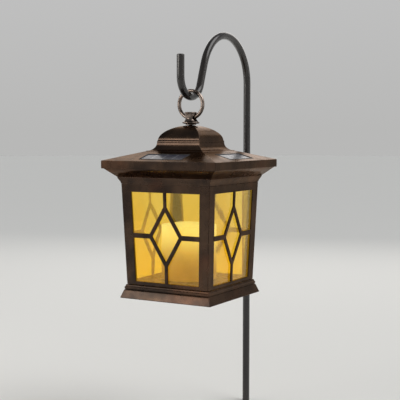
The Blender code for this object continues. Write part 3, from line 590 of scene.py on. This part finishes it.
def crook_shape(sides=28):
    """The bent rod, from the floor of its bore over the arch to the hook's end."""
    low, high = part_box("crook_upper")
    joint, arch_z = low.z / MM, high.z / MM - ROD_R * math.cos(math.pi / 12) - ARCH_R
    hook_z = middle("hanging_ring").z + RING_R - RING_WIRE_R - GAP - ROD_R
    leg_y = -LANTERN.y - ARCH_R - ARCH_R * math.cos(LEAN)
    leg_z = arch_z + ARCH_R * math.sin(LEAN)
    hook_r = (leg_y - (leg_z - hook_z) * math.tan(LEAN))
    hook_r /= math.cos(LEAN) - (1 - math.sin(LEAN)) * math.tan(LEAN)
    ease = 0.35
    stations = [(0, joint + 25, 1, 0, BORE_R), (0, joint + 0.4, 1, 0, BORE_R)]
    stations += [(0, joint, 1, 0, BORE_R + ease), (0, joint, 1, 0, ROD_R - ease)]
    stations += [(0, joint + ease, 1, 0, ROD_R)]
    stations += [(0, joint + (arch_z - joint) * k / 4, 1, 0, ROD_R) for k in (1, 2, 3)]
    for k in range(49):
        a = (math.pi - LEAN) * k / 48
        y, z = math.cos(a), math.sin(a)
        stations.append((-ARCH_R + ARCH_R * y, arch_z + ARCH_R * z, y, z, ROD_R))
    for k in range(37):
        a = -LEAN - (math.pi - LEAN) * k / 36
        y, z = math.cos(a), math.sin(a)
        stations.append((LANTERN.y + hook_r * y, hook_z + hook_r + hook_r * z, -y, -z, ROD_R))
    rounded_end = [(-1.3, ROD_R), (-0.7, ROD_R - 0.15), (-0.2, ROD_R - 0.6), (0, ROD_R - 1.3)]
    for rise, radius in rounded_end + [(0, 1.2), (-0.3, 0.8)]:
        stations.append((LANTERN.y - hook_r, HOOK_END + rise, 1, 0, radius))
    corners = circle(sides)
    points = [(r * a, y + ny * r * b, z + nz * r * b) for y, z, ny, nz, r in stations for a, b in corners]
    return points, join_rings(sides, len(stations))


def make_crook():
    crook = make_mesh("crook_rod", crook_shape(), GROUND)
    add_piece("crook_rod", crook, "crook_enamel", "crook", "crook_upper")
    low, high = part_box("stake_lower")
    tip, top, joint = low.z / MM, high.z / MM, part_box("crook_upper")[0].z / MM - GAP
    spigot = [(SPIGOT_R - 0.6, top), (SPIGOT_R, top - 0.6), (SPIGOT_R, joint)]
    rod = [(ROD_R - 0.35, joint), (ROD_R, joint - 0.35), (ROD_R, joint - 120), (ROD_R, 4), (ROD_R, tip + 32)]
    point = [(ROD_R * 0.96, tip + 26), (ROD_R * 0.72, tip + 11.2), (ROD_R * 0.42, tip + 4), (0.6, tip)]
    stake = make_mesh("stake_rod", turned(spigot + rod + point, 28), GROUND)
    add_piece("stake_rod", stake, "crook_enamel", "crook", "stake_lower")


def make_ring():
    steps, sides = 96, 20
    centre_z = middle("hanging_ring").z - LANTERN.z
    points = []
    for k in range(steps):
        a = 2 * math.pi * k / steps
        for u, v in circle(sides):
            reach = RING_R + RING_WIRE_R * u
            points.append((reach * math.cos(a), RING_WIRE_R * v, centre_z + reach * math.sin(a)))
    ring = make_mesh("ring_wire", (points, join_rings(sides, steps, True)))
    add_piece("ring_wire", ring, "burnished_bronze", "ring", "hanging_ring")


# ---------------------------------------------------------------- roof

def slope_vectors():
    dh, dz = SLOPE_IN[0] - SLOPE_OUT[0], SLOPE_IN[1] - SLOPE_OUT[1]
    length = math.hypot(dh, dz)
    return (dh / length, dz / length), (dz / length, -dh / length)


def on_slope(u, up, depth):
    """A point on the front slope: u across, up from the eave, depth under the surface."""
    along, out = slope_vectors()
    h = SLOPE_OUT[0] + up * along[0] - depth * out[0]
    z = SLOPE_OUT[1] + up * along[1] - depth * out[1]
    return (u, -h, z)


def slope_box(half_width, start, end, top, bottom):
    corners = [(-half_width, start), (half_width, start), (half_width, end), (-half_width, end)]
    points = [on_slope(u, up, depth) for depth in (top, bottom) for u, up in corners]
    return points, join_rings(4, 2)


def rectangle(x0, x1, y0, y1):
    return [(x0, y0), (x1, y0), (x1, y1), (x0, y1)]


def carve(piece, shapes):
    """Cut shapes out of a piece, and keep the result as its own mesh."""
    helpers = []
    for shape in shapes:
        helper = bpy.data.objects.new("cutter", make_mesh("cutter", shape))
        bpy.context.collection.objects.link(helper)
        helpers.append(helper)
        modifier = piece.modifiers.new("cut", "BOOLEAN")
        modifier.operation = "DIFFERENCE"
        modifier.solver = "EXACT"
        modifier.object = helper
    weighted = piece.modifiers["even_normals"]
    piece.modifiers.remove(weighted)
    bpy.context.view_layer.update()
    carved = bpy.data.meshes.new_from_object(piece.evaluated_get(bpy.context.evaluated_depsgraph_get()))
    piece.modifiers.clear()
    piece.data = carved
    carved.set_sharp_from_angle(angle=math.radians(40))
    weighted = piece.modifiers.new("even_normals", "WEIGHTED_NORMAL")
    weighted.keep_sharp = True
    for helper in helpers:
        bpy.data.objects.remove(helper)


def make_roof():
    tier = arc((TIER_HALF + COVE_R, TIER_TOP), COVE_R, TIER_TOP - TIER_BOTTOM, 270, 180, 18)
    inner_tier = arc((TIER_HALF + COVE_R, TIER_TOP - 1.6), COVE_R + 2.2, 10.8, 180, 255, 8)
    outer = [(EAVE_HALF, EAVE_BOTTOM), (EAVE_HALF, SLOPE_OUT[1] - 0.3), SLOPE_OUT, SLOPE_IN]
    profile = outer + tier + [(TIER_HALF - 2.2, TIER_TOP)] + inner_tier
    profile += [(EAVE_HALF - 1.6, SLOPE_OUT[1] - 2.4), (EAVE_HALF - 1.6, EAVE_BOTTOM)]
    mesh = make_mesh("roof_cover", squared(eased(profile, 0.55), 0.6))
    roof = add_piece("roof_cover", mesh, "lantern_bronze", "lantern", "roof_shell")
    panel_back = PANEL_TOP_DEPTH + PANEL_THICK
    pocket = slope_box(PANEL_HALF_WIDTH + 0.4, PANEL_FROM - 0.4, PANEL_TO + 0.4, -2, panel_back + GAP)
    carve(roof, [quarter_turn(pocket, turns) for turns in range(4)])
    for turns, side in enumerate(SIDES):
        plate = slope_box(PANEL_HALF_WIDTH, PANEL_FROM, PANEL_TO, PANEL_TOP_DEPTH, panel_back)
        mesh = make_mesh("cell_" + side, quarter_turn(plate, turns), bevel=0.2)
        axis = "solar_y" if turns % 2 else "solar_x"
        add_piece("cell_" + side, mesh, "solar_cell", "lantern", "solar_panel_" + side, material=axis)
        rims = [rectangle(-w, w, start, end) for w, start, end in
                ((PANEL_HALF_WIDTH + 0.35, PANEL_FROM - 0.35, PANEL_TO + 0.35),
                 (PANEL_HALF_WIDTH - 0.8, PANEL_FROM + 0.8, PANEL_TO - 0.8))]
        seal = slab(rims, lambda u, w: on_slope(u, w, -0.3), lambda u, w: on_slope(u, w, 0.4))
        mesh = make_mesh("seal_" + side, quarter_turn(seal, turns), bevel=0.2)
        add_piece("seal_" + side, mesh, "black_plastic", "lantern")


def dome_section(half, rise, steps):
    """Points of the dome's section, a superellipse from its spring to the stud's hole."""
    points = []
    for k in range(steps + 1):
        a = math.pi / 2 * k / steps
        h = half * math.cos(a) ** (2 / DOME_POWER)
        z = DOME_SPRING + rise * math.sin(a) ** (2 / DOME_POWER)
        if h > STUD_HOLE_HALF + 1:
            points.append((h, z))
    return points


def make_dome():
    low = TIER_TOP + SEAM
    band = eased([(DOME_HALF - 0.1, low), (DOME_HALF + 0.8, low), (DOME_HALF + 0.75, DOME_SPRING - 1.6),
                  (DOME_HALF + 0.5, DOME_SPRING - 0.7), (DOME_HALF + 0.05, DOME_SPRING)], 0.3, closed=False)
    outside = dome_section(DOME_HALF, DOME_RISE, 40)[1:] + [(STUD_HOLE_HALF, DOME_SPRING + DOME_RISE)]
    inside = dome_section(DOME_HALF - DOME_WALL, DOME_RISE - DOME_WALL, 20)
    inside += [(STUD_HOLE_HALF, DOME_SPRING + DOME_RISE - DOME_WALL)]
    profile = band + outside + inside[::-1] + [(DOME_HALF - 0.1, DOME_SPRING - 1.4)]
    mesh = make_mesh("dome_cover", squared(profile, 0.7))
    add_piece("dome_cover", mesh, "lantern_bronze", "lantern", "dome_cap")


def make_finial():
    seat = DOME_SPRING + DOME_RISE + GAP
    profile = [
        (1.9, seat - 11), (1.9, seat), (6.3, seat), (6.3, seat + 1.2), (9.4, seat + 1.4),
        (10.3, seat + 2.5), (9.8, seat + 3.6), (8.0, seat + 4.6), (6.8, seat + 6), (6.3, seat + 7.8),
        (6.5, seat + 10), (7.0, seat + 12.4), (7.6, seat + 13.6), (7.5, seat + 14.6), (6.6, seat + 15.1),
    ]
    mesh = make_mesh("finial_knob", turned(eased(profile, 0.9, closed=False, turn=8), 48))
    finial = add_piece("finial_knob", mesh, "burnished_bronze", "lantern", "finial")
    pivot_z = middle("hanging_ring").z - RING_R - LANTERN.z
    hole = [(x, FINIAL_HOLE_R * a, pivot_z + FINIAL_HOLE_R * b) for x in (-12, 12) for a, b in circle(40)]
    carve(finial, [(hole, join_rings(40, 2))])


def make_cornice():
    foot = BODY_TOP + SEAM
    top = TRAY_FOOT - SEAM
    profile = [(58.8, foot), (59.0, 134.2), (60.2, 136.4), (61.3, 138.2), (62.0, top)]
    profile += [(50.5, top), (50.5, foot)]
    mesh = make_mesh("cornice_moulding", squared(eased(profile, 0.4, turn=30), 0.6))
    add_piece("cornice_moulding", mesh, "lantern_bronze", "lantern", "cornice")
    tray = [(62.0, TRAY_FOOT), (72.9, 149.9), (72.9, 151.3), (72.0, 151.3), (61.4, 141.7)]
    mesh = make_mesh("soffit_tray", squared(eased(tray, 0.4, closed=False), 0.6, closed=False))
    add_piece("soffit_tray", mesh, "lantern_bronze", "lantern", "roof_tray")


# ---------------------------------------------------------------- body

def body_half(z):
    """Half the width of the tapered body at a height."""
    share = (z - BODY_BOTTOM) / (BODY_TOP - BODY_BOTTOM)
    return BODY_BOTTOM_HALF + (BODY_TOP_HALF - BODY_BOTTOM_HALF) * share


def window_half(z):
    """Half the width of a window at a height."""
    share = (z - WINDOW_BOTTOM) / (WINDOW_TOP - WINDOW_BOTTOM)
    return WINDOW_BOTTOM_HALF + (WINDOW_TOP_HALF - WINDOW_BOTTOM_HALF) * share


def in_wall(depth):
    """A surface that lies this deep in the leaning front wall."""
    return lambda u, z: (u, depth - body_half(z), z)


def trapezoid(half_low, low, half_high, high):
    return [(-half_low, low), (half_low, low), (half_high, high), (-half_high, high)]


def frame_shape():
    """A window's frame, mitred at the corners of the body."""
    mitre = 0.21
    outline = trapezoid(body_half(BODY_BOTTOM) - mitre, BODY_BOTTOM, body_half(BODY_TOP) - mitre, BODY_TOP)
    window = trapezoid(WINDOW_BOTTOM_HALF, WINDOW_BOTTOM, WINDOW_TOP_HALF, WINDOW_TOP)

    def back(u, z):
        shift = FRAME_DEPTH if abs(u) > WINDOW_TOP_HALF + 1 else 0
        return in_wall(FRAME_DEPTH)(u - math.copysign(shift, u), z)

    return slab([outline, window], in_wall(0), back)


def lattice_shape():
    """The diamond with its upright and level bars, as one plate with a hole."""
    slant = DIAMOND_HALF_HEIGHT / DIAMOND_HALF_WIDTH
    notch = DIAMOND_HALF_HEIGHT - MULLION_HALF * slant
    elbow = DIAMOND_HALF_WIDTH - ARM_HALF / slant
    reach = window_half(LATTICE_Z) + LATTICE_BITE
    top = WINDOW_TOP + LATTICE_BITE - LATTICE_Z
    low = LATTICE_Z - WINDOW_BOTTOM + LATTICE_BITE
    right = [(MULLION_HALF, -low), (MULLION_HALF, -notch), (elbow, -ARM_HALF), (reach, -ARM_HALF),
             (reach, ARM_HALF), (elbow, ARM_HALF), (MULLION_HALF, notch), (MULLION_HALF, top)]
    left = [(-u, z) for u, z in reversed(right)]
    outline = [(u, z + LATTICE_Z) for u, z in right + left]
    inner_width = DIAMOND_INNER_HEIGHT / slant
    diamond = [(-inner_width, LATTICE_Z), (0, LATTICE_Z - DIAMOND_INNER_HEIGHT),
               (inner_width, LATTICE_Z), (0, LATTICE_Z + DIAMOND_INNER_HEIGHT)]
    return slab([outline, diamond], in_wall(LATTICE_FRONT), in_wall(LATTICE_BACK))


def pane_shape(seed):
    """A pane whose two faces ripple by about a tenth of a millimetre, as rolled glass does."""
    columns, rows = 26, 30
    low, high = PANE_BOTTOM, BODY_TOP - 2.4
    points = []
    for depth in (PANE_FRONT, PANE_BACK):
        for j in range(rows + 1):
            z = low + (high - low) * j / rows
            half = window_half(z) + PANE_LAP
            for i in range(columns + 1):
                u = half * (2 * i / columns - 1)
                ripple = 0.14 * noise.noise(Vector((u * 0.09 + seed * 7.3, z * 0.035, depth + seed)))
                points.append(in_wall(depth + ripple)(u, z))
    across = columns + 1
    sheet = across * (rows + 1)
    faces = []
    for j in range(rows):
        for i in range(columns):
            a = j * across + i
            quad = (a, a + 1, a + across + 1, a + across)
            faces.append(quad)
            faces.append(tuple(sheet + p for p in quad))
    rim = [i for i in range(columns)] + [columns + across * j for j in range(rows)]
    rim += [rows * across + i for i in range(columns, 0, -1)] + [across * j for j in range(rows, 0, -1)]
    for k, a in enumerate(rim):
        b = rim[(k + 1) % len(rim)]
        faces.append((a, b, sheet + b, sheet + a))
    return points, faces


def make_body():
    for turns, side in enumerate(SIDES):
        rails = make_mesh("rails_" + side, quarter_turn(frame_shape(), turns), bevel=0.45)
        add_piece("rails_" + side, rails, "lantern_bronze", "lantern", "window_frame_" + side)
        lattice = make_mesh("lattice_" + side, quarter_turn(lattice_shape(), turns), bevel=0.5)
        add_piece("lattice_" + side, lattice, "lantern_bronze", "lantern")
        pane = make_mesh("pane_" + side, quarter_turn(pane_shape(turns), turns))
        add_piece("pane_" + side, pane, "amber_glass", "lantern", "amber_pane_" + side)


# ---------------------------------------------------------------- base and candle

def make_base():
    ledge = [(56.3, 10.5), (56.3, 12.9), (55.4, 13.6), (55.2, 14.9), (54.7, 15.6), (49.9, 15.6), (49.9, 10.5)]
    mesh = make_mesh("ledge_moulding", squared(eased(ledge, 0.35), 0.6))
    add_piece("ledge_moulding", mesh, "lantern_bronze", "lantern", "base_ledge")
    skirt = [(60, 0), (59.8, 1.0), (57.0, 8.6), (56.0, 10.2)]
    skirt += [(47.4, 10.2), (47.4, 9.0), (54.6, 9.0), (58.0, 0)]
    mesh = make_mesh("plinth_skirt", squared(eased(skirt, 0.5), 0.7))
    add_piece("plinth_skirt", mesh, "lantern_bronze", "lantern", "base_plinth")


def candle_shape():
    """The hollow candle: a softly uneven wall, a dished top and a hole for the LED."""
    x, r, sides = middle("candle_shell").x, CANDLE_R, 96
    wall = [(r, CANDLE_FOOT + (82.4 - CANDLE_FOOT) * k / 14) for k in range(15)]
    rim = [(r - 0.15, 83.0), (r - 0.5, 83.5), (r - 1.2, CANDLE_TOP)]
    rim += [(r - 2.2, 83.4), (r - 3.6, 82.4), (r - 5.5, 81.2)]
    dish = [(r - 9, 80.6), (r - 16, 80.3), (r - 23, 80.15), (3.7, 80.1), (3.3, 79.8), (3.3, 78.1)]
    inside = [(r - 6, 78.8), (r - 2.6, 76), (r - 2.6, CANDLE_FOOT)]
    profile = wall + rim + dish + inside
    points = []
    for radius, z in profile:
        for k, (a, b) in enumerate(circle(sides)):
            swell = 0.28 * noise.noise(Vector((1.6 * a, 1.6 * b, z * 0.03)))
            lift = 0.55 * noise.noise(Vector((1.3 * a + 9, 1.3 * b, 0.4))) if z > 82 and radius > 26 else 0
            reach = radius + swell - 0.25 if radius > 12 else radius
            points.append((x + reach * a, reach * b, z + lift - (0.3 if lift else 0)))
    return points, join_rings(sides, len(profile), True)


def make_candle():
    mesh = make_mesh("wax_pillar", candle_shape())
    add_piece("wax_pillar", mesh, "candle_wax", "lantern", "candle_shell")


def refined(node, bevel=0.25):
    """A CAD node's shape with its flat faces restored and its sharp edges rounded."""
    mesh = bpy.data.meshes.new(node + "_fine")
    bm = bmesh.new()
    bm.from_mesh(frame["nodes"][node].data)
    bmesh.ops.remove_doubles(bm, verts=bm.verts, dist=0.002 * MM)
    round_edges(bm, bevel)
    bmesh.ops.recalc_face_normals(bm, faces=bm.faces)
    bm.to_mesh(mesh)
    bm.free()
    mesh.materials.clear()
    mesh.shade_smooth()
    mesh.set_sharp_from_angle(angle=math.radians(50))
    return mesh


def block(low, high):
    """A plain box between two corners."""
    corners = rectangle(low[0], high[0], low[1], high[1])
    return [(x, y, z) for z in (low[2], high[2]) for x, y in corners], join_rings(4, 2)


def make_underside():
    """Bottom plate, battery door, switch and screws, with their grips and drive recesses."""
    for node in ("bottom_plate", "battery_holder", "switch_body", "control_board", "charge_chip"):
        slot = SLOTS[node]
        add_piece("fine_" + node, refined(node), slot, "lantern", node)
    door = add_piece("fine_door", refined("battery_door", 0.2), "black_plastic", "door", "battery_door")
    carve(door, [block((x - 0.45, 4.2, -1), (x + 0.45, 7.0, 0.5)) for x in range(-8, 9, 2)])
    knob = refined("switch_slider", 0.2)
    slider = add_piece("fine_slider", knob, "white_plastic", "slider", "switch_slider")
    x, y = middle("switch_slider").x, middle("switch_slider").y - LANTERN.y
    grooves = (-1.2, -0.4, 0.4, 1.2)
    carve(slider, [block((x - 2, y + k - 0.2, -1), (x + 2, y + k + 0.2, 0.65)) for k in grooves])
    head = [(0.9, 0.1), (2.1, 0.16), (2.7, 0.4), (2.9, 0.75), (2.9, 0.9), (1.05, 0.9), (1.05, 11), (0.4, 12)]
    for number in range(1, 5):
        name = "base_screw_%d" % number
        x, y = middle(name).x, middle(name).y - LANTERN.y
        mesh = make_mesh("screw_%d" % number, turned(head, 28, centre=(x, y)))
        screw = add_piece("screw_%d" % number, mesh, "zinc_steel", "lantern", name)
        carve(screw, [block((x - a, y - b, -1), (x + a, y + b, 0.6)) for a, b in ((1.5, 0.3), (0.3, 1.5))])


def dress_cad_nodes():
    """Better materials on the CAD nodes that stay as they are."""
    stood_for = {name for piece in bpy.data.objects for name in piece.get("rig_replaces", [])}
    for name, node in frame["nodes"].items():
        if name in stood_for:
            continue
        node.data.materials.clear()
        node.data.materials.append(MATERIALS[SLOTS[name]])
        node.data.shade_smooth()
        node.data.set_sharp_from_angle(angle=math.radians(35))


make_camera()
make_stage()
make_crook()
make_ring()
make_roof()
make_dome()
make_finial()
make_cornice()
make_body()
make_base()
make_candle()
make_underside()
dress_cad_nodes()
